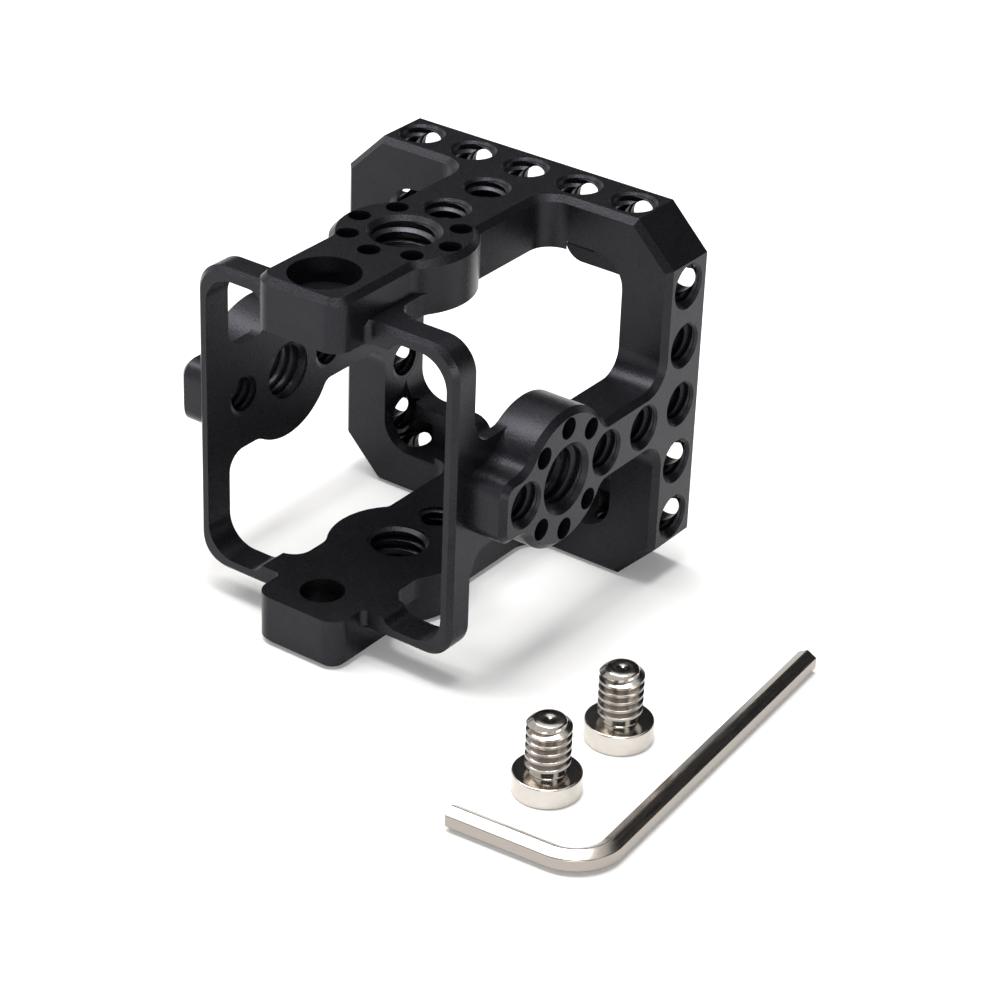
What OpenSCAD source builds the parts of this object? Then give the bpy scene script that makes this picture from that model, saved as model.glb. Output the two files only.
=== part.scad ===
// Camera cage milled from one aluminium block, with its two camera screws and hex key.
// Millimetres, +Z up, +Y towards the back. The origin is the centre of the large tapped
// hole in the bottom arm, on the plane that the cage stands on.

/* [Cage block] */
// Outside width, across the two side arms
block_w = 58.5; // [58.2:0.1:60]
// Outside height, across the top and bottom arms
block_h = 58.5; // [58.2:0.1:60]
// Thickness of the four arm plates
plate_t = 8; // [7.5:0.1:8.5]
// Depth of the rear frame, front to back
frame_depth = 9.6; // [9.2:0.1:11]
// Leg of the 45 degree cut on the four corners of the rear frame
corner_cut = 6.35; // [4:0.05:6.35]
// Leg of the small chamfer along the outer edges
edge_chamfer = 0.9; // [0.4:0.1:0.9]

/* [Camera pocket] */
// Height of the pocket in the rear frame
pocket_h = 45; // [43.4:0.1:45.4]
// Corner radius of the pocket
pocket_r = 4.75; // [3:0.25:6]
// Thickness of the four rear tabs that stop the camera
tab_t = 4.2; // [3:0.1:5]
// Reach of the tabs in from the pocket's top and bottom walls
tab_reach = 5.45; // [4:0.05:7]
// Width of the gap between two tabs
tab_gap = 14.8; // [12:0.2:18]
// Radius of the tabs' free corners
tab_r = 3.2; // [2:0.1:3.8]
// Radius where a tab meets the side wall
tab_root_r = 4.5; // [2:0.1:6]

/* [Arms] */
// Distance from the hole row on the rear frame to the rosette centres
row_to_rosette = 28.95; // [28.65:0.05:32]
// Distance from the hole row to the front face of the rear frame
row_inset = 5.1; // [4.7:0.1:5.3]
// Radius of the round rosettes
rosette_r = 10.6; // [10.6:0.1:11.6]
// Width of the top and bottom arms
main_arm_w = 15.1; // [14:0.1:16]
// Width of the side arms
side_arm_w = 9.9; // [9.5:0.1:11]
// Reach of the top and bottom arms ahead of the rosette centres
main_tip = 24.1; // [23.9:0.1:26]
// Reach of the side arms ahead of the rosette centres
side_tip = 14.85; // [14.75:0.05:16]
// Corner radius of the top and bottom arm tips
main_tip_r = 2.8; // [1.5:0.1:3.5]
// Corner radius of the side arm tips
side_tip_r = 2.5; // [1.5:0.1:2.8]
// Fillet where an arm meets the rear frame
root_r = 3.8; // [2:0.1:5]
// Fillet between neck and rosette, top and bottom arms
main_neck_r = 1.2; // [0.6:0.1:2]
// Fillet between rosette and tip, top and bottom arms
main_nose_r = 1.9; // [0.6:0.1:2.5]
// Fillet between neck and rosette, side arms
side_neck_r = 1.8; // [1:0.1:3]
// Fillet between rosette and tip, side arms
side_nose_r = 3.7; // [2:0.1:3.8]

/* [Holes] */
// Spacing of the small tapped holes
hole_pitch = 9.525; // [9.475:0.025:9.525]
// Major diameter of the small threads, 1/4-20
small_thread_d = 6.35; // [5:0.05:6.4]
// Rim diameter of the countersinks on the small threads
small_rim_d = 7.1; // [6.6:0.1:7.1]
// Major diameter of the large threads in the rosettes, 3/8-16
large_thread_d = 9.525; // [8:0.025:9.6]
// Rim diameter of the countersinks on the large threads
large_rim_d = 10.9; // [9.8:0.1:11]
// Diameter of the blind locating pin holes
pin_d = 3.3; // [2.5:0.1:3.3]
// Radius of the circle that the pin holes stand on
pin_circle_r = 8; // [7.8:0.05:8]
// Depth of the pin holes
pin_depth = 4.5; // [2:0.5:6]
// Depth of the row holes, enough to open into the pocket
row_depth = 10; // [9:0.1:10.5]
// Diameter of the holes from the rear face into the row holes, as drilled for tapping
rear_hole_d = 5.35; // [4.5:0.05:5.4]
// Distance of the rear holes in from the outer faces
rear_hole_drop = 3.6; // [3.5:0.1:4]
// Distance of the camera screw hole ahead of the rosette centre
screw_hole_ahead = 17.7; // [17.2:0.1:17.8]
// Diameter of the counterbore for the screw head
bore_head_d = 10.4; // [9.9:0.1:10.4]
// Depth of the counterbore
bore_head_depth = 3.8; // [3.3:0.1:4.5]
// Diameter of the clearance hole below the counterbore
bore_shank_d = 6.6; // [6.5:0.1:7]
// Distance of the side arms' front tapped hole ahead of the rosette centre
side_hole_ahead = 9.65; // [9.6:0.05:9.8]

/* [Front ring] */
// Wall of the ring's two uprights
ring_side_wall = 1.7; // [1.5:0.1:2.2]
// Wall of the ring's top and bottom
ring_top_wall = 1.85; // [1.6:0.05:2.2]
// Height of the ring's window
ring_window_h = 45.35; // [44:0.05:45.4]
// Depth of the ring, front to back
ring_depth = 4.85; // [4:0.05:5.5]
// Distance of the ring's front face behind the front of the top arm
ring_setback = 6.15; // [5:0.05:7]
// Corner radius of the ring, outside and inside
ring_r = 4.75; // [3:0.25:6]
// Leg of the chamfer along the ring's front outer edges
ring_chamfer = 0.75; // [0.3:0.05:0.9]
// Leg of the chamfer along the ring's rear outer edges
ring_rear_chamfer = 0.5; // [0.2:0.05:0.9]
// Half length of the thicker stretches of ring beside the top and bottom arms
step_half = 13.4; // [12.4:0.1:13.5]
// Radius at the ends of those stretches
step_r = 2.5; // [1.5:0.1:3]
// Half width of the webs that run back from the ring to the rosettes
web_half = 8.5; // [8:0.1:9.2]
// Fillet at both ends of a web
web_r = 3.1; // [2.5:0.1:3.2]
// Fillet between the ring's front face and the top and bottom arms
front_fillet_r = 1; // [0.5:0.1:1.5]

/* [Camera screws] */
// Diameter of the screw heads
head_d = 9.75; // [8:0.05:9.8]
// Height of the screw heads
head_h = 3.2; // [3:0.1:3.2]
// Height of a whole screw
screw_h = 11.55; // [11:0.05:14]
// Pitch of the screw thread, 1/4-20
screw_pitch = 1.27; // [1.27:0.01:1.3]
// Depth of the hex socket in the head
socket_depth = 2; // [1.5:0.1:2.4]

/* [Hex key] */
// Width across flats
key_af = 3; // [2.5:0.1:4]
// Length of the long arm, from the bend's outer side
key_long = 63; // [55:0.5:75]
// Length of the short arm, from the bend's outer side
key_short = 23; // [18:0.5:26]
// Radius of the bend at the bar's centre line
key_bend_r = 6; // [5:0.5:9]

/* [Places on the table] */
// First camera screw, to the right of the cage's middle
screw_1_x = 47.4; // [45:0.1:50]
// First camera screw, ahead of the origin
screw_1_ahead = 28.3; // [26:0.1:30]
// Second camera screw, to the right of the cage's middle
screw_2_x = 47.9; // [45:0.1:50]
// Second camera screw, ahead of the origin
screw_2_ahead = 11.8; // [9:0.1:14]
// Centre of the key's bend, to the right of the cage's middle
key_x = 57.2; // [56.5:0.1:60]
// Centre of the key's bend, ahead of the origin
key_ahead = 36; // [35:0.1:40]

/* [Hidden] */
$fn = 96;

// How far a cutter runs past the surface that it cuts
overrun = 0.5;

// Angles about the Y axis that turn the top face to each outer face
top_turn = 0;
right_turn = 90;
bottom_turn = 180;
left_turn = 270;
corner_turns = [45, 135, 225, 315];

// Planes and half sizes of the block
mid_z = block_h / 2;
half_w = block_w / 2;
half_h = block_h / 2;
bay_half_w = half_w - plate_t;
bay_half_h = half_h - plate_t;
row_y = row_to_rosette;
frame_front = row_y - row_inset;
frame_back = frame_front + frame_depth;
corner_face = (half_w + half_h - corner_cut) / sqrt(2);

// Planes and sizes of the ring, and its depth below the outer faces
ring_front = ring_setback - main_tip;
ring_back = ring_front + ring_depth;
ring_w = 2 * (bay_half_w + ring_side_wall);
ring_h = ring_window_h + 2 * ring_top_wall;
main_ring_drop = (block_h - ring_h) / 2;
side_ring_drop = (block_w - ring_w) / 2;

// Sizes that follow from the holes
small_r = small_thread_d / 2;
small_rim_r = small_rim_d / 2;
large_r = large_thread_d / 2;
large_rim_r = large_rim_d / 2;
holes_each_way = 2;

// Rear holes behind the top and bottom rows, and behind the right row from the top down,
// counted in pitches from the middle
main_rear_steps = [-2, -1, 0, 1, 2];
side_rear_steps = [-2, 1, 2];

// Where a pin stands in the circle, counted in steps from the rear
pin_step = 45;
main_pins = [1, 2, 3, 4, 5, 6, 7];
side_pins = [1, 2, 3, 5, 6, 7];

// Camera screws: shares of the pitch that the thread form takes, and its sizes
thread_depth_share = 0.61;
crest_share = 0.2;
root_share = 0.25;
neck_share = 0.5;
thread_turns = 5;
root_d = small_thread_d - 2 * thread_depth_share * screw_pitch;
neck_h = neck_share * screw_pitch;
thread_start = head_h + neck_h;
flank_share = (1 - crest_share - root_share) / 2;
tooth = [[root_d / 2, 0], [small_thread_d / 2, flank_share * screw_pitch],
         [small_thread_d / 2, (flank_share + crest_share) * screw_pitch],
         [root_d / 2, (1 - root_share) * screw_pitch]];
tip_d_share = 0.6;
tip_d = tip_d_share * small_thread_d;
head_edge_share = 0.1;
head_edge = head_edge_share * head_h;
socket_gap = 0.1;
socket_r = (key_af + socket_gap) / sqrt(3);

// Hex key: radius at the bar's corners and turn of the long arm from +Y
key_corner_r = key_af / sqrt(3);
key_turn = 4.1;

// Puts a piece drawn with its outer face at z = 0 onto one outer face of the block
module on_face(turn) {
    reach = (turn == right_turn || turn == left_turn) ? half_w : half_h;
    translate([0, 0, mid_z]) rotate([0, turn, 0]) translate([0, 0, reach]) children();
}

// Wedge that cuts a 45 degree chamfer along X, with its edge on the X axis,
// solid above and ahead of the edge
module edge_wedge(length, leg) {
    rotate([90, 0, 90])
        linear_extrude(length)
            polygon([[-overrun, -leg - overrun], [leg + overrun, overrun], [-overrun, overrun]]);
}

// Rectangle with round corners, centred
module round_rect(w, h, r) {
    difference() {
        square([w, h], center = true);
        for (sx = [-1, 1], sy = [-1, 1])
            translate([sx * (w / 2 - r), sy * (h / 2 - r)])
                difference() {
                    translate([sx > 0 ? 0 : -r - overrun, sy > 0 ? 0 : -r - overrun])
                        square(r + overrun);
                    circle(r);
                }
    }
}

// Extrudes a drawing in X and Z towards the front, from plane y = back
module extrude_front(back, depth) {
    translate([0, back, mid_z]) rotate([90, 0, 0]) linear_extrude(depth) children();
}

// Tapped hole into an outer face at z = 0, at its major diameter, with a countersink
module tapped_hole(r, rim_r, depth) {
    translate([0, 0, -depth]) cylinder(r = r, h = depth + overrun);
    translate([0, 0, r - rim_r])
        cylinder(r1 = r, r2 = rim_r + overrun, h = rim_r - r + overrun);
}

// Round plate with a chamfer along its outer edge
module chamfered_disc(r) {
    rotate_extrude()
        polygon([[0, -plate_t], [r, -plate_t], [r, -edge_chamfer], [r - edge_chamfer, 0], [0, 0]]);
}

// Cutter for an inner fillet, flared at the outer face so that the chamfer runs on round it
module flared_cutter(r, leg = edge_chamfer) {
    rotate_extrude()
        polygon([[0, -plate_t - overrun], [r, -plate_t - overrun], [r, -leg],
                 [r + leg + overrun, overrun], [0, overrun]]);
}

// Straight bar of an arm with chamfered edges and a tip with round corners
module arm_bar(arm_half, tip, tip_r) {
    difference() {
        translate([-arm_half, -tip, -plate_t])
            cube([2 * arm_half, tip + frame_front, plate_t]);
        translate([arm_half, -tip - overrun, 0]) rotate([0, 0, 90])
            edge_wedge(tip + frame_front + 2 * overrun, edge_chamfer);
        translate([-arm_half, frame_front + overrun, 0]) rotate([0, 0, -90])
            edge_wedge(tip + frame_front + 2 * overrun, edge_chamfer);
        translate([-arm_half - overrun, -tip, 0])
            edge_wedge(2 * arm_half + 2 * overrun, edge_chamfer);
        for (side = [-1, 1])
            translate([side * (arm_half - tip_r), tip_r - tip, 0])
                difference() {
                    translate([side > 0 ? 0 : -tip_r - overrun, -tip_r - overrun, -plate_t - overrun])
                        cube([tip_r + overrun, tip_r + overrun, plate_t + 2 * overrun]);
                    chamfered_disc(tip_r);
                }
    }
}

// Fills the inner corners between the rosette and the bar, ahead (-1) or behind (+1)
module rosette_blend(arm_half, r, way) {
    centre_y = way * sqrt(pow(rosette_r + r, 2) - pow(arm_half + r, 2));
    for (side = [-1, 1])
        difference() {
            translate([0, 0, -plate_t]) linear_extrude(plate_t)
                polygon([[0, 0], [side * (arm_half + r), centre_y], [0, centre_y]]);
            translate([side * (arm_half + r), centre_y, 0]) flared_cutter(r);
        }
}

// Fills the inner corners between the arm and the front face of the rear frame
module root_blend(arm_half) {
    for (side = [-1, 1])
        difference() {
            translate([side > 0 ? 0 : -arm_half - root_r, frame_front - root_r, -plate_t])
                cube([arm_half + root_r, root_r, plate_t]);
            translate([side * (arm_half + root_r), frame_front - root_r, 0])
                flared_cutter(root_r);
        }
}

// Cutters for the small fillets ahead of the ring, with the ring's outer face at z = 0
module front_fillet_cutters() {
    for (side = [-1, 1])
        translate([side * (main_arm_w / 2 + front_fillet_r), ring_front - front_fillet_r, 0])
            flared_cutter(front_fillet_r, ring_chamfer);
}

// Cutters for the ends of the thicker stretches of ring beside a top or bottom arm,
// which run on through the webs behind the ring
module step_cutters() {
    for (side = [-1, 1])
        translate([side * step_half, 0, ring_window_h / 2 - step_r - half_h])
            rotate([90, 0, 0]) cylinder(r = step_r, h = -ring_front + overrun);
}

// Webs from the ring's rear face to the rosette, level with the ring's outer face
module ring_webs(drop) {
    slot_x = web_half + web_r;
    slot_front = ring_back + web_r;
    slot_rear = -sqrt(pow(rosette_r + web_r, 2) - pow(slot_x, 2));
    translate([0, 0, -plate_t]) linear_extrude(plate_t - drop)
        difference() {
            polygon([[-slot_x, ring_back], [slot_x, ring_back], [slot_x, slot_rear],
                     [0, 0], [-slot_x, slot_rear]]);
            for (side = [-1, 1]) {
                translate([side * slot_x, slot_front]) circle(web_r);
                translate([side * slot_x, slot_rear]) circle(web_r);
                translate([side * slot_x - web_r, slot_front])
                    square([2 * web_r, slot_rear - slot_front]);
            }
        }
}

// Small fillets between the sides of a top or bottom arm and the ring's front face
module front_fillets() {
    reach = main_arm_w / 2 + front_fillet_r;
    translate([0, 0, -main_ring_drop]) difference() {
        translate([-reach, ring_front - front_fillet_r, main_ring_drop - plate_t])
            cube([2 * reach, front_fillet_r, plate_t - main_ring_drop]);
        front_fillet_cutters();
    }
}

// Whole arm without holes, drawn with its outer face at z = 0
module arm_plate(arm_half, tip, tip_r, neck_r, nose_r) {
    chamfered_disc(rosette_r);
    arm_bar(arm_half, tip, tip_r);
    rosette_blend(arm_half, neck_r, 1);
    rosette_blend(arm_half, nose_r, -1);
    root_blend(arm_half);
}

// Two small tapped holes in the neck, the large one and the pin holes in the rosette
module arm_holes(pins) {
    through = plate_t + overrun;
    for (i = [1, 2])
        translate([0, row_y - i * hole_pitch, 0]) tapped_hole(small_r, small_rim_r, through);
    tapped_hole(large_r, large_rim_r, through);
    for (i = pins)
        rotate([0, 0, i * pin_step]) translate([0, pin_circle_r, -pin_depth])
            cylinder(d = pin_d, h = pin_depth + overrun);
}

// Top or bottom arm, with a counterbored hole for a camera screw
module main_arm() {
    difference() {
        union() {
            arm_plate(main_arm_w / 2, main_tip, main_tip_r, main_neck_r, main_nose_r);
            difference() {
                ring_webs(main_ring_drop);
                step_cutters();
            }
            front_fillets();
        }
        arm_holes(main_pins);
        translate([0, -screw_hole_ahead, -bore_head_depth])
            cylinder(d = bore_head_d, h = bore_head_depth + overrun);
        translate([0, -screw_hole_ahead, -plate_t - overrun])
            cylinder(d = bore_shank_d, h = plate_t + 2 * overrun);
    }
}

// Side arm, with a third small tapped hole near its tip
module side_arm() {
    difference() {
        union() {
            arm_plate(side_arm_w / 2, side_tip, side_tip_r, side_neck_r, side_nose_r);
            ring_webs(side_ring_drop);
        }
        arm_holes(side_pins);
        translate([0, -side_hole_ahead, 0])
            tapped_hole(small_r, small_rim_r, plate_t + overrun);
    }
}

module top_arm() {
    color("#3a3a3d") on_face(top_turn) main_arm();
}

module bottom_arm() {
    color("#3a3a3d") on_face(bottom_turn) main_arm();
}

module right_arm() {
    color("#3a3a3d") on_face(right_turn) side_arm();
}

module left_arm() {
    color("#3a3a3d") on_face(left_turn) side_arm();
}

// Outline of the rear frame: a square with its four corners cut at 45 degrees
module frame_outline() {
    polygon([[half_w, half_h - corner_cut], [half_w - corner_cut, half_h],
             [corner_cut - half_w, half_h], [-half_w, half_h - corner_cut],
             [-half_w, corner_cut - half_h], [corner_cut - half_w, -half_h],
             [half_w - corner_cut, -half_h], [half_w, corner_cut - half_h]]);
}

// Window through the rear tabs: wide between them and up to the pocket walls in the gaps
module rear_window() {
    tab_edge = pocket_h / 2 - tab_reach;
    round_rect(2 * bay_half_w, 2 * tab_edge, tab_root_r);
    square([tab_gap, pocket_h], center = true);
    for (sx = [-1, 1], sz = [-1, 1])
        translate([sx * tab_gap / 2, sz * tab_edge])
            difference() {
                translate([sx > 0 ? -overrun : -tab_r, sz > 0 ? -overrun : -tab_r])
                    square(tab_r + overrun);
                translate([sx * tab_r, sz * tab_r]) circle(tab_r);
            }
}

// Chamfer cutters along one outer face of the frame, on both sides of an arm's root
module frame_edge_cutters(arm_half, reach) {
    start = arm_half + root_r;
    length = reach - start + overrun;
    for (side = [-1, 1]) {
        translate([side > 0 ? start : -start - length, frame_front, 0])
            edge_wedge(length, edge_chamfer);
        translate([side * start, frame_front - root_r, -edge_chamfer])
            cylinder(r1 = root_r, r2 = root_r + edge_chamfer + overrun,
                     h = edge_chamfer + overrun);
    }
}

// Holes from the rear face that end on the axes of the row holes, with the outer face at z = 0
module rear_holes(steps, way = 1) {
    for (i = steps)
        translate([way * i * hole_pitch, frame_back + overrun, -rear_hole_drop])
            rotate([90, 0, 0]) cylinder(d = rear_hole_d, h = frame_back + overrun - row_y);
}

module rear_frame() {
    corner_length = 3 * corner_cut;
    color("#3a3a3d") difference() {
        extrude_front(frame_back, frame_depth) frame_outline();
        extrude_front(frame_back - tab_t, frame_depth)
            round_rect(2 * bay_half_w, pocket_h, pocket_r);
        extrude_front(frame_back + overrun, tab_t + 2 * overrun) rear_window();
        for (turn = [top_turn, bottom_turn])
            on_face(turn) frame_edge_cutters(main_arm_w / 2, half_w);
        for (turn = [left_turn, right_turn])
            on_face(turn) frame_edge_cutters(side_arm_w / 2, half_h);
        for (turn = corner_turns)
            translate([0, 0, mid_z]) rotate([0, turn, 0])
                translate([-corner_length / 2, frame_front, corner_face])
                    edge_wedge(corner_length, edge_chamfer);
        for (turn = [top_turn, right_turn, bottom_turn, left_turn])
            on_face(turn)
                for (i = [-holes_each_way:holes_each_way])
                    translate([i * hole_pitch, row_y, 0])
                        tapped_hole(small_r, small_rim_r, row_depth);
        for (turn = [top_turn, bottom_turn])
            on_face(turn) rear_holes(main_rear_steps);
        on_face(right_turn) rear_holes(side_rear_steps);
        on_face(left_turn) rear_holes(side_rear_steps, -1);
    }
}

// Chamfer cutters along the front and rear outer edges of one side of the ring, which
// stop at the fillets of the arm there
module ring_edge_cutters(length, front_gap) {
    rear_gap = web_half + web_r;
    for (side = [-1, 1]) {
        translate([side > 0 ? front_gap : -length / 2, ring_front, 0])
            edge_wedge(length / 2 - front_gap, ring_chamfer);
        translate([side > 0 ? rear_gap : -length / 2, ring_back, 0]) mirror([0, 1, 0])
            edge_wedge(length / 2 - rear_gap, ring_rear_chamfer);
    }
}

// Window of the ring, with the thicker stretches beside the top and bottom arms
module ring_window() {
    difference() {
        round_rect(2 * bay_half_w, ring_window_h, ring_r);
        for (sz = [-1, 1])
            difference() {
                translate([-step_half, sz > 0 ? bay_half_h : -ring_window_h / 2 - overrun])
                    square([2 * step_half, ring_window_h / 2 + overrun - bay_half_h]);
                for (sx = [-1, 1])
                    translate([sx * step_half, sz * (ring_window_h / 2 - step_r)])
                        circle(step_r);
            }
    }
}

// Ring's round corner as a disc along Y, chamfered at both ends
module ring_corner_disc() {
    rotate([90, 0, 0])
        rotate_extrude()
            polygon([[0, 0], [ring_r - ring_rear_chamfer, 0], [ring_r, ring_rear_chamfer],
                     [ring_r, ring_depth - ring_chamfer], [ring_r - ring_chamfer, ring_depth],
                     [0, ring_depth]]);
}

// Whole ring, as it runs through the four arm tips
module ring() {
    difference() {
        extrude_front(ring_back, ring_depth) square([ring_w, ring_h], center = true);
        extrude_front(ring_back + overrun, ring_depth + 2 * overrun) ring_window();
        for (turn = [top_turn, bottom_turn])
            on_face(turn) translate([0, 0, -main_ring_drop]) {
                ring_edge_cutters(ring_w + 2 * overrun, main_arm_w / 2 + front_fillet_r);
                front_fillet_cutters();
            }
        for (turn = [left_turn, right_turn])
            on_face(turn) translate([0, 0, -side_ring_drop])
                ring_edge_cutters(ring_h + 2 * overrun, 0);
        for (sx = [-1, 1], sz = [-1, 1])
            translate([sx * (ring_w / 2 - ring_r), ring_back, mid_z + sz * (ring_h / 2 - ring_r)])
                difference() {
                    translate([sx > 0 ? 0 : -ring_r - overrun, -ring_depth - overrun,
                               sz > 0 ? 0 : -ring_r - overrun])
                        cube([ring_r + overrun, ring_depth + 2 * overrun, ring_r + overrun]);
                    ring_corner_disc();
                }
    }
}

// Half of the ring on one side, from the top arm's tip to the bottom arm's tip,
// with a seat where the side arm's tip meets it
module ring_half(side, turn) {
    width = half_w - main_arm_w / 2;
    difference() {
        intersection() {
            ring();
            translate([side > 0 ? main_arm_w / 2 : -half_w, ring_front - overrun, 0])
                cube([width, ring_depth + 2 * overrun, block_h]);
        }
        on_face(turn) arm_bar(side_arm_w / 2, side_tip, side_tip_r);
    }
}

module front_ring_left() {
    color("#3a3a3d") ring_half(-1, left_turn);
}

module front_ring_right() {
    color("#3a3a3d") ring_half(1, right_turn);
}

// Screw on its head: head, plain neck, grooved thread and a coned tip
module camera_screw() {
    difference() {
        rotate_extrude()
            polygon(concat(
                [[0, 0], [head_d / 2 - head_edge, 0], [head_d / 2, head_edge],
                 [head_d / 2, head_h - head_edge], [head_d / 2 - head_edge, head_h],
                 [root_d / 2, head_h]],
                [for (i = [0:thread_turns - 1], point = tooth)
                     [point[0], thread_start + i * screw_pitch + point[1]]],
                [[root_d / 2, thread_start + thread_turns * screw_pitch],
                 [tip_d / 2, screw_h], [0, screw_h]]));
        translate([0, 0, -overrun])
            cylinder(r = socket_r, h = socket_depth + overrun, $fn = 6);
    }
}

module camera_screw_1() {
    color("#c9c5bd") translate([screw_1_x, -screw_1_ahead, 0]) camera_screw();
}

module camera_screw_2() {
    color("#c9c5bd") translate([screw_2_x, -screw_2_ahead, 0]) camera_screw();
}

// Section of the key's bar, with two flats upright
module key_section() {
    rotate(30) circle(key_corner_r, $fn = 6);
}

module hex_key() {
    short_straight = key_short - key_bend_r - key_af / 2;
    long_straight = key_long - key_bend_r - key_af / 2;
    color("#c9c5bd")
        translate([key_x, -key_ahead, key_corner_r])
            rotate([0, 0, key_turn - 90]) {
                rotate_extrude(angle = 90) translate([key_bend_r, 0]) key_section();
                translate([key_bend_r, 0, 0]) rotate([90, 0, 0])
                    linear_extrude(short_straight) key_section();
                translate([-long_straight, key_bend_r, 0]) rotate([90, 0, 90])
                    linear_extrude(long_straight) key_section();
            }
}

rear_frame();
top_arm();
bottom_arm();
left_arm();
right_arm();
front_ring_left();
front_ring_right();
camera_screw_1();
camera_screw_2();
hex_key();
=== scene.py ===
"""Looks of a camera cage, its two camera screws and its hex key.

The CAD model is the fixed frame: metres, +Z up, +Y towards the back, with the origin at the
centre of the large tapped hole in the bottom arm. Sizes of the pieces made here are written
in millimetres and turned to metres when a mesh is built.
"""

import logging
import math
from dataclasses import dataclass
from enum import Enum

import bmesh
import bpy
from mathutils import Matrix, Vector

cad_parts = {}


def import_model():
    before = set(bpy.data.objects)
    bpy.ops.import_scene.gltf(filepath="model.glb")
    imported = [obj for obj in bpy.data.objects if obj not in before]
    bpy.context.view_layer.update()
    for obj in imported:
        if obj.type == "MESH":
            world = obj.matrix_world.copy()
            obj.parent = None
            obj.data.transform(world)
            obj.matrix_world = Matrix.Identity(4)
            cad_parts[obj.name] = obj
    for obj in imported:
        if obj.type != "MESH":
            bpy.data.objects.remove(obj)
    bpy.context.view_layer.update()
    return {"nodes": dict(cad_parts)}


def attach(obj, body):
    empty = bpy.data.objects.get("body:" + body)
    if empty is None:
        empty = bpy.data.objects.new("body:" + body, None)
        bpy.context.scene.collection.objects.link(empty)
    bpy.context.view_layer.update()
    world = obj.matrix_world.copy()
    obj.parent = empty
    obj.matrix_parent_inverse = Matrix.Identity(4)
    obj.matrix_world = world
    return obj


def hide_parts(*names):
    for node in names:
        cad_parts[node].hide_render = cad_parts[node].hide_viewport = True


frame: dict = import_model()

log = logging.getLogger("camera_cage")

MM = 0.001
Point = tuple[float, float, float]
# Values that a noise pattern mostly stays between
NOISE_LOW, NOISE_HIGH = 0.3, 0.7


def linear(hex_colour: str) -> tuple[float, float, float, float]:
    """Turn an sRGB hex colour into the linear colour that a shader socket takes.

    Args:
        hex_colour: colour as "#rrggbb".

    Returns:
        Red, green, blue and an alpha of 1.
    """
    shares = [int(hex_colour[i : i + 2], 16) / 255 for i in (1, 3, 5)]
    return (*(s / 12.92 if s <= 0.04045 else ((s + 0.055) / 1.055) ** 2.4 for s in shares), 1.0)


def add_node(
    tree: bpy.types.NodeTree,
    kind: str,
    feeds: dict[str | int, object] | list[object] | None = None,
    **settings: object,
) -> bpy.types.Node:
    """Add a node with its settings, and set or link its inputs.

    Args:
        tree: node tree that the node goes into.
        kind: Blender's type name of the node.
        feeds: value, socket or node for each input, by name, by number or in order. A node
            stands for its first output.
        settings: attributes of the node itself.

    Returns:
        The new node.
    """
    node = tree.nodes.new(kind)
    for name, value in settings.items():
        setattr(node, name, value)
    pairs = enumerate(feeds) if isinstance(feeds, list) else (feeds or {}).items()
    for key, value in pairs:
        if isinstance(value, bpy.types.Node):
            value = value.outputs[0]
        if isinstance(value, bpy.types.NodeSocket):
            tree.links.new(value, node.inputs[key])
        elif value is not None:
            node.inputs[key].default_value = value
    return node


def blank_material(name: str) -> bpy.types.Material:
    """Make a material whose node tree is still empty.

    Args:
        name: name of the material.

    Returns:
        The new material.
    """
    material = bpy.data.materials.new(name)
    material.use_nodes = True
    material.node_tree.nodes.clear()
    return material


def mesh_object(name: str, mesh: bpy.types.Mesh) -> bpy.types.Object:
    """Link a mesh into the scene as an object at the origin.

    Args:
        name: name of the object.
        mesh: its mesh, in metres.

    Returns:
        The new object.
    """
    piece = bpy.data.objects.new(name, mesh)
    bpy.context.scene.collection.objects.link(piece)
    return piece


def shaded(mesh: bpy.types.Mesh, sharp_deg: float) -> bpy.types.Mesh:
    """Shade a mesh smooth, with sharp edges where it turns by more than an angle.

    Args:
        mesh: mesh that is shaded.
        sharp_deg: angle in degrees.

    Returns:
        The same mesh.
    """
    mesh.shade_smooth()
    mesh.set_sharp_from_angle(angle=math.radians(sharp_deg))
    return mesh


def baked(piece: bpy.types.Object) -> bpy.types.Object:
    """Put a piece's modifiers into a plain mesh.

    Args:
        piece: object whose modifiers are used up.

    Returns:
        A new object of the same name with no modifiers.
    """
    name = piece.name
    depsgraph = bpy.context.evaluated_depsgraph_get()
    mesh = bpy.data.meshes.new_from_object(piece.evaluated_get(depsgraph))
    piece.modifiers.clear()
    bpy.data.objects.remove(piece)
    return mesh_object(name, mesh)


def cut_away(piece: bpy.types.Object, cutter: bpy.types.Object) -> bpy.types.Object:
    """Cut one object out of another and remove the cutter.

    Args:
        piece: object that is cut.
        cutter: closed object that is taken out of it.

    Returns:
        The cut piece, with no modifiers.
    """
    cut = piece.modifiers.new("cut", "BOOLEAN")
    cut.operation, cut.object, cut.solver = "DIFFERENCE", cutter, "EXACT"
    piece = baked(piece)
    bpy.data.objects.remove(cutter)
    return piece


def flats_kept_flat(piece: bpy.types.Object) -> bpy.types.Object:
    """Weight the normals by face area, so that wide flats beside small curves stay even.

    Args:
        piece: object that gets the modifier.

    Returns:
        The same object.
    """
    weighted = piece.modifiers.new("flats", "WEIGHTED_NORMAL")
    weighted.mode = "FACE_AREA"
    weighted.weight = 100
    weighted.keep_sharp = True
    return piece


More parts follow.
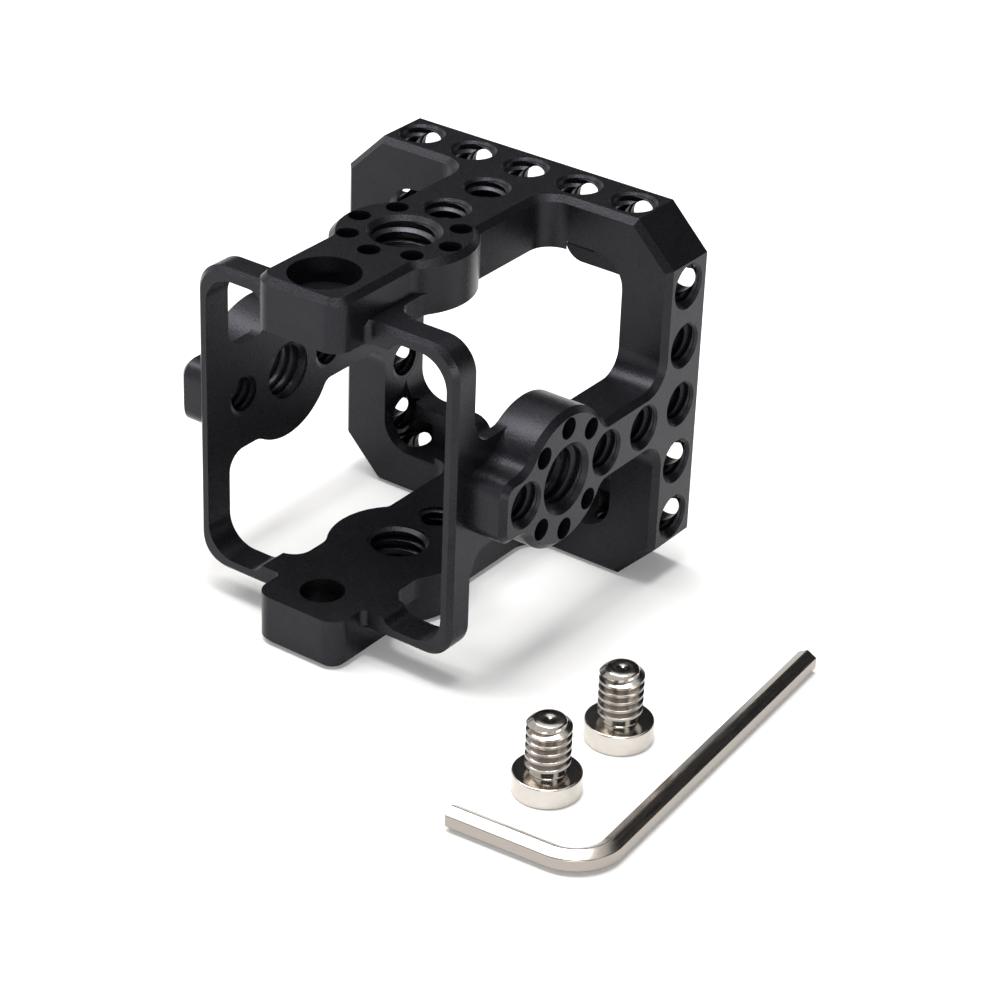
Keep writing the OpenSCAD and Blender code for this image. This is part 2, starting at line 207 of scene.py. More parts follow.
@dataclass(frozen=True)
class BlackAnodising:
    """Bead-blasted aluminium with a black dyed anodic layer: deep satin black, soft highlights.

    The dye darkens the metal's own reflection and the clear oxide over it adds a little of
    its own, so the finish is mostly metallic, with a faint grain from the blasting.
    """

    name: str = "black_anodised_aluminium"
    deep: str = "#1f1e23"
    pale: str = "#29282d"
    metallic: float = 0.7
    roughness: float = 0.3
    roughness_swing: float = 0.04
    # Blasting grain is near 0.08 mm; it is drawn coarser so that it shows in the render
    grain_mm: float = 0.28
    mottle_mm: float = 5.0
    grain_bump: float = 0.15
    # How the mottle counts against the grain, and the values that give the deep and pale colour
    mottle_share: float = 0.5
    deep_at: float = 0.55
    pale_at: float = 0.95

    def build(self) -> bpy.types.Material:
        """Build the material's nodes.

        Returns:
            The material.
        """
        material = blank_material(self.name)
        tree = material.node_tree
        place = add_node(tree, "ShaderNodeTexCoord").outputs["Object"]
        mottle = add_node(
            tree,
            "ShaderNodeTexNoise",
            {"Vector": place, "Scale": 1 / (self.mottle_mm * MM), "Detail": 3.0, "Roughness": 0.6},
        )
        grain = add_node(
            tree,
            "ShaderNodeTexNoise",
            {"Vector": place, "Scale": 1 / (self.grain_mm * MM), "Detail": 2.0, "Roughness": 0.7},
        )
        blend = add_node(
            tree, "ShaderNodeMath", [mottle, self.mottle_share, grain], operation="MULTIPLY_ADD"
        )
        share = add_node(
            tree,
            "ShaderNodeMapRange",
            {"Value": blend, "From Min": self.deep_at, "From Max": self.pale_at},
        )
        colour = add_node(
            tree,
            "ShaderNodeMix",
            {0: share, 6: linear(self.deep), 7: linear(self.pale)},
            data_type="RGBA",
        )
        rough = add_node(
            tree,
            "ShaderNodeMapRange",
            {
                "Value": grain,
                "From Min": NOISE_LOW,
                "From Max": NOISE_HIGH,
                "To Min": self.roughness - self.roughness_swing,
                "To Max": self.roughness + self.roughness_swing,
            },
        )
        bump = add_node(
            tree,
            "ShaderNodeBump",
            {"Height": grain, "Strength": self.grain_bump, "Distance": self.grain_mm * MM},
        )
        shader = add_node(
            tree,
            "ShaderNodeBsdfPrincipled",
            {
                "Base Color": colour.outputs[2],
                "Metallic": self.metallic,
                "Roughness": rough,
                "Normal": bump,
            },
        )
        add_node(tree, "ShaderNodeOutputMaterial", {"Surface": shader})
        return material


@dataclass(frozen=True)
class TurnedNickel:
    """Nickel-plated steel turned on a lathe: bright warm metal with fine rings round it.

    The screw's thread takes a rougher copy whose darker colour is painted shade on its flanks.
    """

    name: str = "nickel_plated_turned_steel"
    colour: str = "#d9d4cd"
    dull: str = "#c2bcb4"
    roughness: float = 0.14
    smoother_by: float = 0.04
    rougher_by: float = 0.05
    # A turned finish has rings some 0.05 mm apart, drawn as coarse as the render can show
    ring_mm: float = 0.16
    ring_bump: float = 0.06
    across_scale: float = 40.0
    cloud_mm: float = 1.6

    def build(self) -> bpy.types.Material:
        """Build the material's nodes.

        Returns:
            The material.
        """
        material = blank_material(self.name)
        tree = material.node_tree
        place = add_node(tree, "ShaderNodeTexCoord").outputs["Object"]
        squeezed = add_node(
            tree,
            "ShaderNodeMapping",
            {
                "Vector": place,
                "Scale": (self.across_scale, self.across_scale, 1 / (self.ring_mm * MM)),
            },
        )
        rings = add_node(
            tree, "ShaderNodeTexNoise", {"Vector": squeezed, "Scale": 1.0, "Detail": 2.0}
        )
        cloud = add_node(
            tree,
            "ShaderNodeTexNoise",
            {"Vector": place, "Scale": 1 / (self.cloud_mm * MM), "Detail": 3.0},
        )
        colour = add_node(
            tree,
            "ShaderNodeMix",
            {0: cloud, 6: linear(self.dull), 7: linear(self.colour)},
            data_type="RGBA",
        )
        rough = add_node(
            tree,
            "ShaderNodeMapRange",
            {
                "Value": rings,
                "From Min": NOISE_LOW,
                "From Max": NOISE_HIGH,
                "To Min": self.roughness - self.smoother_by,
                "To Max": self.roughness + self.rougher_by,
            },
        )
        bump = add_node(
            tree,
            "ShaderNodeBump",
            {"Height": rings, "Strength": self.ring_bump, "Distance": self.ring_mm * MM},
        )
        shader = add_node(
            tree,
            "ShaderNodeBsdfPrincipled",
            {
                "Base Color": colour.outputs[2],
                "Metallic": 1.0,
                "Roughness": rough,
                "Normal": bump,
            },
        )
        add_node(tree, "ShaderNodeOutputMaterial", {"Surface": shader})
        return material


@dataclass(frozen=True)
class DrawnNickel:
    """Nickel-plated hexagonal wire, drawn through a die: smooth metal with faint long lines."""

    name: str = "nickel_plated_drawn_steel"
    colour: str = "#a59e97"
    roughness: float = 0.23
    smoother_by: float = 0.03
    rougher_by: float = 0.05
    # The UV map runs in millimetres along the bar and once round it: die lines are some 0.17 mm
    # apart round the bar, as coarse as the render can show, and 8 mm long
    lines_along: float = 0.12
    lines_round: float = 60.0
    line_bump: float = 0.07
    line_mm: float = 0.1

    def build(self) -> bpy.types.Material:
        """Build the material's nodes.

        Returns:
            The material.
        """
        material = blank_material(self.name)
        tree = material.node_tree
        along = add_node(tree, "ShaderNodeTexCoord").outputs["UV"]
        stretched = add_node(
            tree,
            "ShaderNodeMapping",
            {"Vector": along, "Scale": (self.lines_along, self.lines_round, 1.0)},
        )
        lines = add_node(
            tree, "ShaderNodeTexNoise", {"Vector": stretched, "Scale": 1.0, "Detail": 3.0}
        )
        rough = add_node(
            tree,
            "ShaderNodeMapRange",
            {
                "Value": lines,
                "From Min": NOISE_LOW,
                "From Max": NOISE_HIGH,
                "To Min": self.roughness - self.smoother_by,
                "To Max": self.roughness + self.rougher_by,
            },
        )
        bump = add_node(
            tree,
            "ShaderNodeBump",
            {"Height": lines, "Strength": self.line_bump, "Distance": self.line_mm * MM},
        )
        shader = add_node(
            tree,
            "ShaderNodeBsdfPrincipled",
            {
                "Base Color": linear(self.colour),
                "Metallic": 1.0,
                "Roughness": rough,
                "Normal": bump,
            },
        )
        add_node(tree, "ShaderNodeOutputMaterial", {"Surface": shader})
        return material


class ThreadSide(Enum):
    """Wall that a thread stands on: a bore's inside or a shank's outside."""

    INSIDE = 1.0
    OUTSIDE = -1.0


@dataclass(frozen=True)
class ThreadForm:
    """Right-hand screw thread in millimetres, measured along its axis from the mouth or head."""

    root_radius: float
    crest_radius: float
    pitch: float
    start: float
    turns: float
    root_width: float
    crest_width: float
    cone_radius: float
    limit: float
    side: ThreadSide

    STEPS_PER_TURN = 56

    def inputs(self) -> dict[str, float | int]:
        """Give the node tree's inputs their values.

        Returns:
            Value of each input, with lengths in metres.
        """
        return {
            "Root Radius": self.root_radius * MM,
            "Crest Radius": self.crest_radius * MM,
            "Pitch": self.pitch * MM,
            "Start": self.start * MM,
            "Turns": self.turns,
            "Root Width": self.root_width * MM,
            "Crest Width": self.crest_width * MM,
            "Cone Radius": self.cone_radius * MM,
            "Limit": self.limit * MM,
            "Side": self.side.value,
            "Steps": int(self.turns * self.STEPS_PER_TURN) + 1,
        }


class ThreadRidge:
    """Geometry Nodes tree that winds a thread's ridge and sets one at every hole or shank.

    The ridge is a grid rolled round its axis: its rows follow the helix and its five columns
    go round the ridge's section. It runs out to nothing at both ends, is cut by the 45 degree
    cone of a countersink or tip, and stops at the end of the wall.
    """

    COLUMNS = 5
    RUN_OUT_TURNS = 0.35
    MERGE_MM = 0.002
    SHARP_DEG = 28.0
    AXIS = "axis"

    def __init__(self) -> None:
        """Build the tree."""
        self.tree = bpy.data.node_groups.new("thread_ridge", "GeometryNodeTree")
        self.sockets: dict[str, str] = {}
        self._interface()
        self._wire()

    def _interface(self) -> None:
        """Add the tree's named inputs and its output."""
        self.tree.interface.new_socket(
            name="Places", in_out="INPUT", socket_type="NodeSocketGeometry"
        )
        names = ["Root Radius", "Crest Radius", "Pitch", "Start", "Turns", "Root Width"]
        names += ["Crest Width", "Cone Radius", "Limit", "Side"]
        kinds = {name: "NodeSocketFloat" for name in names}
        kinds |= {"Steps": "NodeSocketInt", "Finish": "NodeSocketMaterial"}
        for name, kind in kinds.items():
            socket = self.tree.interface.new_socket(name=name, in_out="INPUT", socket_type=kind)
            self.sockets[name] = socket.identifier
        self.tree.interface.new_socket(
            name="Ridges", in_out="OUTPUT", socket_type="NodeSocketGeometry"
        )

    def _wire(self) -> None:
        """Add the tree's nodes."""
        tree = self.tree
        given = add_node(tree, "NodeGroupInput").outputs
        math_node = "ShaderNodeMath"
        grid = add_node(
            tree,
            "GeometryNodeMeshGrid",
            {
                "Size X": 1.0,
                "Size Y": 1.0,
                "Vertices X": given["Steps"],
                "Vertices Y": self.COLUMNS,
            },
        )
        index = add_node(tree, "GeometryNodeInputIndex")
        columns = float(self.COLUMNS)
        passed = add_node(tree, math_node, [index, columns], operation="DIVIDE")
        row = add_node(tree, math_node, [passed], operation="FLOOR")
        column = add_node(tree, math_node, [index, columns], operation="MODULO")
        last = add_node(tree, math_node, [given["Steps"], 1.0], operation="SUBTRACT")
        share = add_node(tree, math_node, [row, last], operation="DIVIDE")
        turn = add_node(tree, math_node, [share, given["Turns"]], operation="MULTIPLY")
        left = add_node(tree, math_node, [given["Turns"], turn], operation="SUBTRACT")
        nearest = add_node(tree, math_node, [turn, left], operation="MINIMUM")
        height = add_node(
            tree, math_node, [nearest, self.RUN_OUT_TURNS], operation="DIVIDE", use_clamp=True
        )
        rise = add_node(tree, "GeometryNodeIndexSwitch", data_type="FLOAT")
        half = add_node(tree, "GeometryNodeIndexSwitch", data_type="FLOAT")
        for switch in (rise, half):
            while len(switch.index_switch_items) < self.COLUMNS:
                switch.index_switch_items.new()
            tree.links.new(column.outputs[0], switch.inputs[0])
        for i, value in enumerate((0.0, 1.0, 1.0, 0.0, 0.0)):
            rise.inputs[1 + i].default_value = value
        root_half = add_node(tree, math_node, [given["Root Width"], 0.5], operation="MULTIPLY")
        crest_half = add_node(tree, math_node, [given["Crest Width"], 0.5], operation="MULTIPLY")
        root_back = add_node(tree, math_node, [root_half, -1.0], operation="MULTIPLY")
        crest_back = add_node(tree, math_node, [crest_half, -1.0], operation="MULTIPLY")
        for i, edge in enumerate((root_back, crest_back, crest_half, root_half, root_back)):
            tree.links.new(edge.outputs[0], half.inputs[1 + i])
        depth = add_node(
            tree, math_node, [given["Crest Radius"], given["Root Radius"]], operation="SUBTRACT"
        )
        raised = add_node(tree, math_node, [rise, height], operation="MULTIPLY")
        radius = add_node(
            tree, math_node, [depth, raised, given["Root Radius"]], operation="MULTIPLY_ADD"
        )
        climb = add_node(
            tree, math_node, [turn, given["Pitch"], given["Start"]], operation="MULTIPLY_ADD"
        )
        level = add_node(tree, math_node, [half, height, climb], operation="MULTIPLY_ADD")
        capped = add_node(tree, math_node, [level, given["Limit"]], operation="MINIMUM")
        cone = add_node(tree, math_node, [given["Cone Radius"], capped], operation="SUBTRACT")
        signed_cone = add_node(tree, math_node, [cone, given["Side"]], operation="MULTIPLY")
        signed = add_node(tree, math_node, [radius, given["Side"]], operation="MULTIPLY")
        cut = add_node(tree, math_node, [signed, signed_cone], operation="MAXIMUM")
        trimmed = add_node(tree, math_node, [cut, given["Side"]], operation="MULTIPLY")
        spoke = add_node(tree, "ShaderNodeCombineXYZ", {"X": trimmed, "Z": capped})
        angle = add_node(tree, math_node, [turn, math.tau], operation="MULTIPLY")
        wound = add_node(
            tree,
            "ShaderNodeVectorRotate",
            {"Vector": spoke, "Angle": angle},
            rotation_type="Z_AXIS",
        )
        placed = add_node(tree, "GeometryNodeSetPosition", {"Geometry": grid, "Position": wound})
        joined = add_node(
            tree,
            "GeometryNodeMergeByDistance",
            {"Geometry": placed, "Distance": self.MERGE_MM * MM},
        )
        facing = add_node(
            tree, "GeometryNodeInputNamedAttribute", {"Name": self.AXIS}, data_type="FLOAT_VECTOR"
        )
        turned = add_node(tree, "FunctionNodeAlignRotationToVector", {"Vector": facing}, axis="Z")
        ridges = add_node(
            tree,
            "GeometryNodeInstanceOnPoints",
            {"Points": given["Places"], "Instance": joined, "Rotation": turned},
        )
        real = add_node(tree, "GeometryNodeRealizeInstances", {"Geometry": ridges})
        finished = add_node(
            tree, "GeometryNodeSetMaterial", {"Geometry": real, "Material": given["Finish"]}
        )
        add_node(tree, "NodeGroupOutput", {"Ridges": finished})

    def wind(
        self,
        name: str,
        form: ThreadForm,
        places: list[tuple[Vector, Vector]],
        finish: bpy.types.Material,
    ) -> bpy.types.Object:
        """Wind one ridge at every place and return them as one plain mesh.

        Args:
            name: name of the piece.
            form: the thread's sizes.
            places: mouth or head of each thread in metres, with the way that its axis runs.
            finish: material of the ridges.

        Returns:
            The finished piece.
        """
        points = bpy.data.meshes.new(name)
        points.from_pydata([place for place, _ in places], [], [])
        axes = points.attributes.new(self.AXIS, "FLOAT_VECTOR", "POINT")
        for item, (_, axis) in zip(axes.data, places):
            item.vector = axis
        piece = mesh_object(name, points)
        modifier = piece.modifiers.new("thread", "NODES")
        modifier.node_group = self.tree
        for socket, value in form.inputs().items():
            modifier[self.sockets[socket]] = value
        modifier[self.sockets["Finish"]] = finish
        piece = baked(piece)
        shaded(piece.data, self.SHARP_DEG)
        return piece


@dataclass
class TappedCage:
    """The cage: its milled sections and the threads in its tapped holes. Sizes in millimetres."""

    finish: bpy.types.Material
    ridge: ThreadRidge
    block_w: float = 58.5
    block_h: float = 58.5
    plate_t: float = 8.0
    pocket_h: float = 45.0
    row_y: float = 28.95
    hole_pitch: float = 9.525
    side_hole_ahead: float = 9.65
    frame_back: float = 33.45
    rear_hole_d: float = 5.35
    rear_hole_drop: float = 3.6
    small_r: float = 3.175
    small_pitch: float = 1.27
    large_pitch: float = 1.5875
    merge_mm: float = 0.0005
    body: str = "cage"
    slot: str = "anodised"
    nodes: tuple[str, ...] = (
        "rear_frame",
        "top_arm",
        "bottom_arm",
        "left_arm",
        "right_arm",
        "front_ring_left",
        "front_ring_right",
    )

    MILLED_SHARP_DEG = 20.0

    def faces(self) -> dict[str, tuple[Vector, Vector, Vector]]:
        """Describe the four outer faces.

        Returns:
            Middle in millimetres, inward way and sideways way of each face.
        """
        middle = self.block_h / 2
        return {
            "top": (Vector((0, 0, self.block_h)), Vector((0, 0, -1)), Vector((1, 0, 0))),
            "bottom": (Vector((0, 0, 0)), Vector((0, 0, 1)), Vector((1, 0, 0))),
            "right": (Vector((self.block_w / 2, 0, middle)), Vector((-1, 0, 0)), Vector((0, 0, 1))),
            "left": (Vector((-self.block_w / 2, 0, middle)), Vector((1, 0, 0)), Vector((0, 0, 1))),
        }

    def holes(
        self, faces: tuple[str, ...], spots: list[tuple[float, float]]
    ) -> list[tuple[Vector, Vector]]:
        """Return the mouth and inward way of holes at the same spots on several faces.

        Args:
            faces: names of the outer faces.
            spots: sideways place and place along Y of each hole, in millimetres.

        Returns:
            Mouths in metres with their inward ways.
        """
        found = []
        for face in faces:
            middle, inward, side = self.faces()[face]
            for across, along in spots:
                found.append(((middle + side * across + Vector((0, along, 0))) * MM, inward))
        return found

    def rear_holes(self) -> list[tuple[Vector, Vector]]:
        """Place the holes in the rear face, each behind a hole of a row.

        Returns:
            Mouths in metres with their inward ways.
        """
        steps = {
            "top": range(-2, 3),
            "bottom": range(-2, 3),
            "right": (-2, -1, 2),
            "left": (-2, -1, 2),
        }
        found = []
        for face, places in steps.items():
            middle, inward, side = self.faces()[face]
            for step in places:
                spot = middle + inward * self.rear_hole_drop + side * step * self.hole_pitch
                found.append(((spot + Vector((0, self.frame_back, 0))) * MM, Vector((0, -1, 0))))
        return found

    def rear_hole_cutters(self) -> bpy.types.Object:
        """Build cutters that clear the row threads out of the rear holes.

        Returns:
            One object of all the cutters.
        """
        shape = bmesh.new()
        deep = 2 * (self.frame_back - self.row_y)
        for mouth, _ in self.rear_holes():
            bmesh.ops.create_cone(
                shape,
                cap_ends=True,
                segments=32,
                radius1=self.rear_hole_d / 2 * MM,
                radius2=self.rear_hole_d / 2 * MM,
                depth=deep * MM,
                matrix=Matrix.Translation(mouth) @ Matrix.Rotation(math.pi / 2, 4, "X"),
            )
        mesh = bpy.data.meshes.new("rear_hole_cutters")
        shape.to_mesh(mesh)
        shape.free()
        mesh.materials.append(self.finish)
        return mesh_object("rear_hole_cutters", mesh)

    def rear_thread(self) -> ThreadForm:
        """Work out the stretch of 1/4-20 thread between the rear face and the row holes.

        Returns:
            The thread.
        """
        wall = self.frame_back - self.row_y - self.small_r
        return ThreadForm(
            root_radius=self.rear_hole_d / 2 + 0.06,
            crest_radius=self.rear_hole_d / 2 - 0.22,
            pitch=self.small_pitch,
            start=0.5,
            turns=(wall - 0.3) / self.small_pitch,
            root_width=0.98,
            crest_width=0.26,
            cone_radius=self.rear_hole_d / 2 + 0.15,
            limit=wall,
            side=ThreadSide.INSIDE,
        )

    def small_thread(self, wall: float) -> ThreadForm:
        """Work out a 1/4-20 thread.

        Args:
            wall: thickness of the tapped wall, in millimetres.

        Returns:
            The thread.
        """
        return ThreadForm(
            root_radius=3.21,
            crest_radius=2.58,
            pitch=self.small_pitch,
            start=0.25,
            turns=(wall + 0.3) / self.small_pitch,
            root_width=0.98,
            crest_width=0.26,
            cone_radius=3.66,
            limit=wall - 0.02,
            side=ThreadSide.INSIDE,
        )

    def large_thread(self) -> ThreadForm:
        """Work out the 3/8-16 thread in an arm plate.

        Returns:
            The thread.
        """
        return ThreadForm(
            root_radius=4.8,
            crest_radius=4.1,
            pitch=self.large_pitch,
            start=0.4,
            turns=(self.plate_t + 0.3) / self.large_pitch,
            root_width=1.2,
            crest_width=0.34,
            cone_radius=5.56,
            limit=self.plate_t - 0.02,
            side=ThreadSide.INSIDE,
        )

    def milled_sections(self) -> list[bpy.types.Object]:
        """Dress the CAD sections: each is shown by a merged copy that shades its curves smooth.

        Returns:
            The copies.
        """
        pieces = []
        for node in self.nodes:
            source = frame["nodes"][node]
            source.data.materials.clear()
            source.data.materials.append(self.finish)
            mesh = bpy.data.meshes.new(f"{node}_milled")
            mesh.from_pydata(
                [vertex.co.copy() for vertex in source.data.vertices],
                [],
                [tuple(face.vertices) for face in source.data.polygons],
            )
            shape = bmesh.new()
            shape.from_mesh(mesh)
            bmesh.ops.remove_doubles(shape, verts=shape.verts, dist=self.merge_mm * MM)
            shape.to_mesh(mesh)
            shape.free()
            mesh.materials.append(self.finish)
            shaded(mesh, self.MILLED_SHARP_DEG)
            piece = baked(flats_kept_flat(mesh_object(f"{node}_milled", mesh)))
            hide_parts(node)
            pieces.append(piece)
        return pieces

    def threads(self) -> list[bpy.types.Object]:
        """Wind the threads of all tapped holes.

        Returns:
            One piece for each kind of hole.
        """
        row = [(i * self.hole_pitch, self.row_y) for i in range(-2, 3)]
        neck = [(0.0, self.row_y - i * self.hole_pitch) for i in (1, 2)]
        every = ("top", "bottom", "right", "left")
        wall = (self.block_h - self.pocket_h) / 2
        small, deep = self.small_thread(wall), self.small_thread(self.plate_t)
        jobs = [
            ("row_threads_top_bottom", small, self.holes(("top", "bottom"), row)),
            ("row_threads_sides", deep, self.holes(("right", "left"), row)),
            ("neck_threads", deep, self.holes(every, neck)),
            ("tip_threads", deep, self.holes(("right", "left"), [(0.0, -self.side_hole_ahead)])),
            ("rosette_threads", self.large_thread(), self.holes(every, [(0.0, 0.0)])),
            ("rear_threads", self.rear_thread(), self.rear_holes()),
        ]
        found = []
        for name, form, places in jobs:
            piece = self.ridge.wind(name, form, places, self.finish)
            if name.startswith("row_"):
                piece = cut_away(piece, self.rear_hole_cutters())
            found.append(piece)
        return found

    def build(self) -> list[bpy.types.Object]:
        """Build and dress the cage.

        Returns:
            Its pieces.
        """
        pieces = self.milled_sections() + self.threads()
        for piece in pieces:
            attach(piece, self.body)
        return pieces


@dataclass
class CameraScrew:
    """One 1/4-20 camera screw standing on its head. Sizes in millimetres."""

    name: str
    place: tuple[float, float]
    finish: bpy.types.Material
    # Finish of the thread: a rougher nickel whose darker colour is painted shade
    thread_finish_with_painted_shade: bpy.types.Material
    ridge: ThreadRidge
    head_d: float = 9.75
    head_h: float = 3.2
    height: float = 11.55
    thread_d: float = 6.3
    root_d: float = 4.8
    pitch: float = 1.27
    tip_d: float = 4.4
    edge_r: float = 0.22
    neck_fillet: float = 0.25
    neck_fillet_mid: float = 0.07
    neck_h: float = 0.6
    tip_edge: float = 0.05
    tip_edge_drop: float = 0.04
    dimple_r: float = 0.32
    dimple_edge: float = 0.06
    dimple_edge_drop: float = 0.03
    dimple_depth: float = 0.22
    socket_r: float = 1.79
    socket_depth: float = 2.0
    slot: str = "nickel_screw"

    ROUND_STEPS = 96
    EDGE_STEPS = 4
    SHARP_DEG = 30.0

    def outline(self) -> list[tuple[float, float]]:
        """Draw the turned outline from the middle of the head's underside to the tip's dimple.

        Returns:
            Radius and height of each point.
        """
        head, r, h, top = self.head_d / 2, self.edge_r, self.head_h, self.height
        points = [(0.0, 0.0)]
        for level, from_deg in ((r, -90), (h - r, 0)):
            for step in range(self.EDGE_STEPS + 1):
                a = math.radians(from_deg + 90 * step / self.EDGE_STEPS)
                points.append((head - r + r * math.cos(a), level + r * math.sin(a)))
        root, tip = self.root_d / 2, self.tip_d / 2
        fillet, mid = self.neck_fillet, self.neck_fillet_mid
        dimple = self.dimple_r
        return [
            *points,
            (root + fillet, h),
            (root + mid, h + mid),
            (root, h + fillet),
            (root, top - (root - tip)),
            (tip + self.tip_edge, top - self.tip_edge_drop),
            (tip - self.tip_edge, top),
            (dimple, top),
            (dimple - self.dimple_edge, top - self.dimple_edge_drop),
            (0.0, top - self.dimple_depth),
        ]

    def turned_body(self) -> bpy.types.Object:
        """Turn the head, shank and tip, and cut the hex socket.

        Returns:
            The finished body.
        """
        shape = bmesh.new()
        centre = Vector((*self.place, 0.0))
        line = [shape.verts.new((centre + Vector((r, 0, z))) * MM) for r, z in self.outline()]
        edges = [shape.edges.new(pair) for pair in zip(line, line[1:])]
        bmesh.ops.spin(
            shape,
            geom=[*line, *edges],
            cent=centre * MM,
            axis=(0, 0, 1),
            angle=math.tau,
            steps=self.ROUND_STEPS,
            use_merge=True,
        )
        bmesh.ops.remove_doubles(shape, verts=shape.verts, dist=0.001 * MM)
        bmesh.ops.recalc_face_normals(shape, faces=shape.faces)
        mesh = bpy.data.meshes.new(self.name)
        shape.to_mesh(mesh)
        shape.free()
        mesh.materials.append(self.finish)
        body = cut_away(mesh_object(f"{self.name}_body", mesh), self.socket_cutter())
        shaded(body.data, self.SHARP_DEG)
        return baked(flats_kept_flat(body))

    def socket_cutter(self) -> bpy.types.Object:
        """Build the hexagonal cutter of the socket in the head's underside.

        Returns:
            The cutter.
        """
        shape = bmesh.new()
        made = bmesh.ops.create_cone(
            shape,
            cap_ends=True,
            segments=6,
            radius1=self.socket_r * MM,
            radius2=self.socket_r * MM,
            depth=2 * self.socket_depth * MM,
        )
        bmesh.ops.translate(shape, verts=made["verts"], vec=Vector((*self.place, 0.0)) * MM)
        mesh = bpy.data.meshes.new(f"{self.name}_socket_cutter")
        shape.to_mesh(mesh)
        shape.free()
        mesh.materials.append(self.finish)
        return mesh_object(f"{self.name}_socket_cutter", mesh)

    def thread_form(self) -> ThreadForm:
        """Work out the 1/4-20 thread on the shank.

        Returns:
            The thread.
        """
        start = self.head_h + self.neck_h
        return ThreadForm(
            root_radius=self.root_d / 2 - 0.06,
            crest_radius=self.thread_d / 2,
            pitch=self.pitch,
            start=start,
            turns=(self.height - 0.1 - start) / self.pitch,
            root_width=1.2,
            crest_width=0.36,
            cone_radius=self.height + self.tip_d / 2 + 0.12,
            limit=self.height - 0.05,
            side=ThreadSide.OUTSIDE,
        )

    def build(self) -> list[bpy.types.Object]:
        """Build the screw.

        Returns:
            Its body and its thread.
        """
        body = self.turned_body()
        head = Vector((*self.place, 0.0)) * MM
        thread = self.ridge.wind(
            f"{self.name}_thread", self.thread_form(), [(head, Vector((0, 0, 1)))], self.thread_finish_with_painted_shade
        )
        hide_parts(self.name)
        for piece in (body, thread):
            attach(piece, self.name)
        return [body, thread]


@dataclass
class HexKey:
    """The bent hex key, lying with two flats upright. Sizes in millimetres."""

    finish: bpy.types.Material
    across_flats: float = 3.0
    long_arm: float = 63.0
    short_arm: float = 23.0
    bend_r: float = 6.0
    corner_r: float = 0.28
    end_chamfer: float = 0.25
    place: tuple[float, float] = (57.2, -36.0)
    turn_deg: float = 4.1
    name: str = "hex_key"
    slot: str = "nickel_key"

    BEND_STEPS = 32
    CORNER_STEPS = 4
    SHARP_DEG = 35.0

    def section(self) -> list[tuple[float, float]]:
        """Draw the section of the bar, a hexagon with small round corners.

        Returns:
            Sideways and upward place of each point.
        """
        inner = (self.across_flats / 2 - self.corner_r) * 2 / math.sqrt(3)
        points = []
        for corner in range(6):
            at = math.radians(30 + 60 * corner)
            for step in range(self.CORNER_STEPS):
                way = at + math.radians(-30 + 60 * step / (self.CORNER_STEPS - 1))
                points.append(
                    (
                        inner * math.cos(at) + self.corner_r * math.cos(way),
                        inner * math.sin(at) + self.corner_r * math.sin(way),
                    )
                )
        return points

    def stations(self) -> list[tuple[Vector, Vector, float, float]]:
        """Set out the stations of the sweep along the bar.

        Returns:
            Centre, sideways way, share of the section and way along of each station.
        """
        short = self.short_arm - self.bend_r - self.across_flats / 2
        long = self.long_arm - self.bend_r - self.across_flats / 2
        r, c = self.bend_r, self.end_chamfer
        small = 1 - 2 * c / self.across_flats
        quarter = math.pi / 2
        across, back = Vector((1, 0, 0)), Vector((0, 1, 0))
        found = [
            (Vector((r, -short, 0)), across, small, 0.0),
            (Vector((r, c - short, 0)), across, 1.0, c),
        ]
        for step in range(self.BEND_STEPS + 1):
            a = quarter * step / self.BEND_STEPS
            way = Vector((math.cos(a), math.sin(a), 0))
            found.append((way * r, way, 1.0, short + r * a))
        total = short + r * quarter + long
        found.append((Vector((c - long, r, 0)), back, 1.0, total - c))
        found.append((Vector((-long, r, 0)), back, small, total))
        return found

    def build(self) -> list[bpy.types.Object]:
        """Sweep the section along the bar and close its ends.

        Returns:
            The one piece of the key.
        """
        section = self.section()
        rest = max(up for _, up in section)
        turn = Matrix.Translation(Vector((*self.place, rest)) * MM) @ Matrix.Rotation(
            math.radians(self.turn_deg - 90), 4, "Z"
        )
        shape = bmesh.new()
        uv = shape.loops.layers.uv.new("bar")
        rings, lengths = [], []
        for centre, side, share, along in self.stations():
            spots = [centre + side * (s * share) + Vector((0, 0, u * share)) for s, u in section]
            rings.append([shape.verts.new(turn @ (spot * MM)) for spot in spots])
            lengths.append(along)
        count = len(section)
        for i, (one, two) in enumerate(zip(rings, rings[1:])):
            for k in range(count):
                nxt = (k + 1) % count
                face = shape.faces.new((one[k], one[nxt], two[nxt], two[k]))
                spots = [(i, k), (i, k + 1), (i + 1, k + 1), (i + 1, k)]
                for loop, (station, round_step) in zip(face.loops, spots):
                    loop[uv].uv = (lengths[station], round_step / count)
        shape.faces.new(list(reversed(rings[0])))
        shape.faces.new(rings[-1])
        bmesh.ops.recalc_face_normals(shape, faces=shape.faces)
        mesh = bpy.data.meshes.new(self.name)
        shape.to_mesh(mesh)
        shape.free()
        mesh.materials.append(self.finish)
        shaded(mesh, self.SHARP_DEG)
        piece = baked(flats_kept_flat(mesh_object(f"{self.name}_bar", mesh)))
        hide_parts(self.name)
        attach(piece, self.name)
        return [piece]


@dataclass(frozen=True)
class SoftBox:
    """One soft studio lamp that the camera doesn't see. Lengths in metres, power in watts."""

    name: str
    place: Point
    size: tuple[float, float]
    power: float

    def build(self, aim: Vector) -> None:
        """Build the lamp.

        Args:
            aim: point that the lamp is turned to.
        """
        light = bpy.data.lights.new(self.name, "AREA")
        light.shape, light.energy = "RECTANGLE", self.power
        light.size, light.size_y = self.size
        lamp = bpy.data.objects.new(self.name, light)
        bpy.context.scene.collection.objects.link(lamp)
        lamp.location = self.place
        lamp.rotation_euler = (aim - Vector(self.place)).to_track_quat("-Z", "Y").to_euler()
        lamp.visible_camera = False


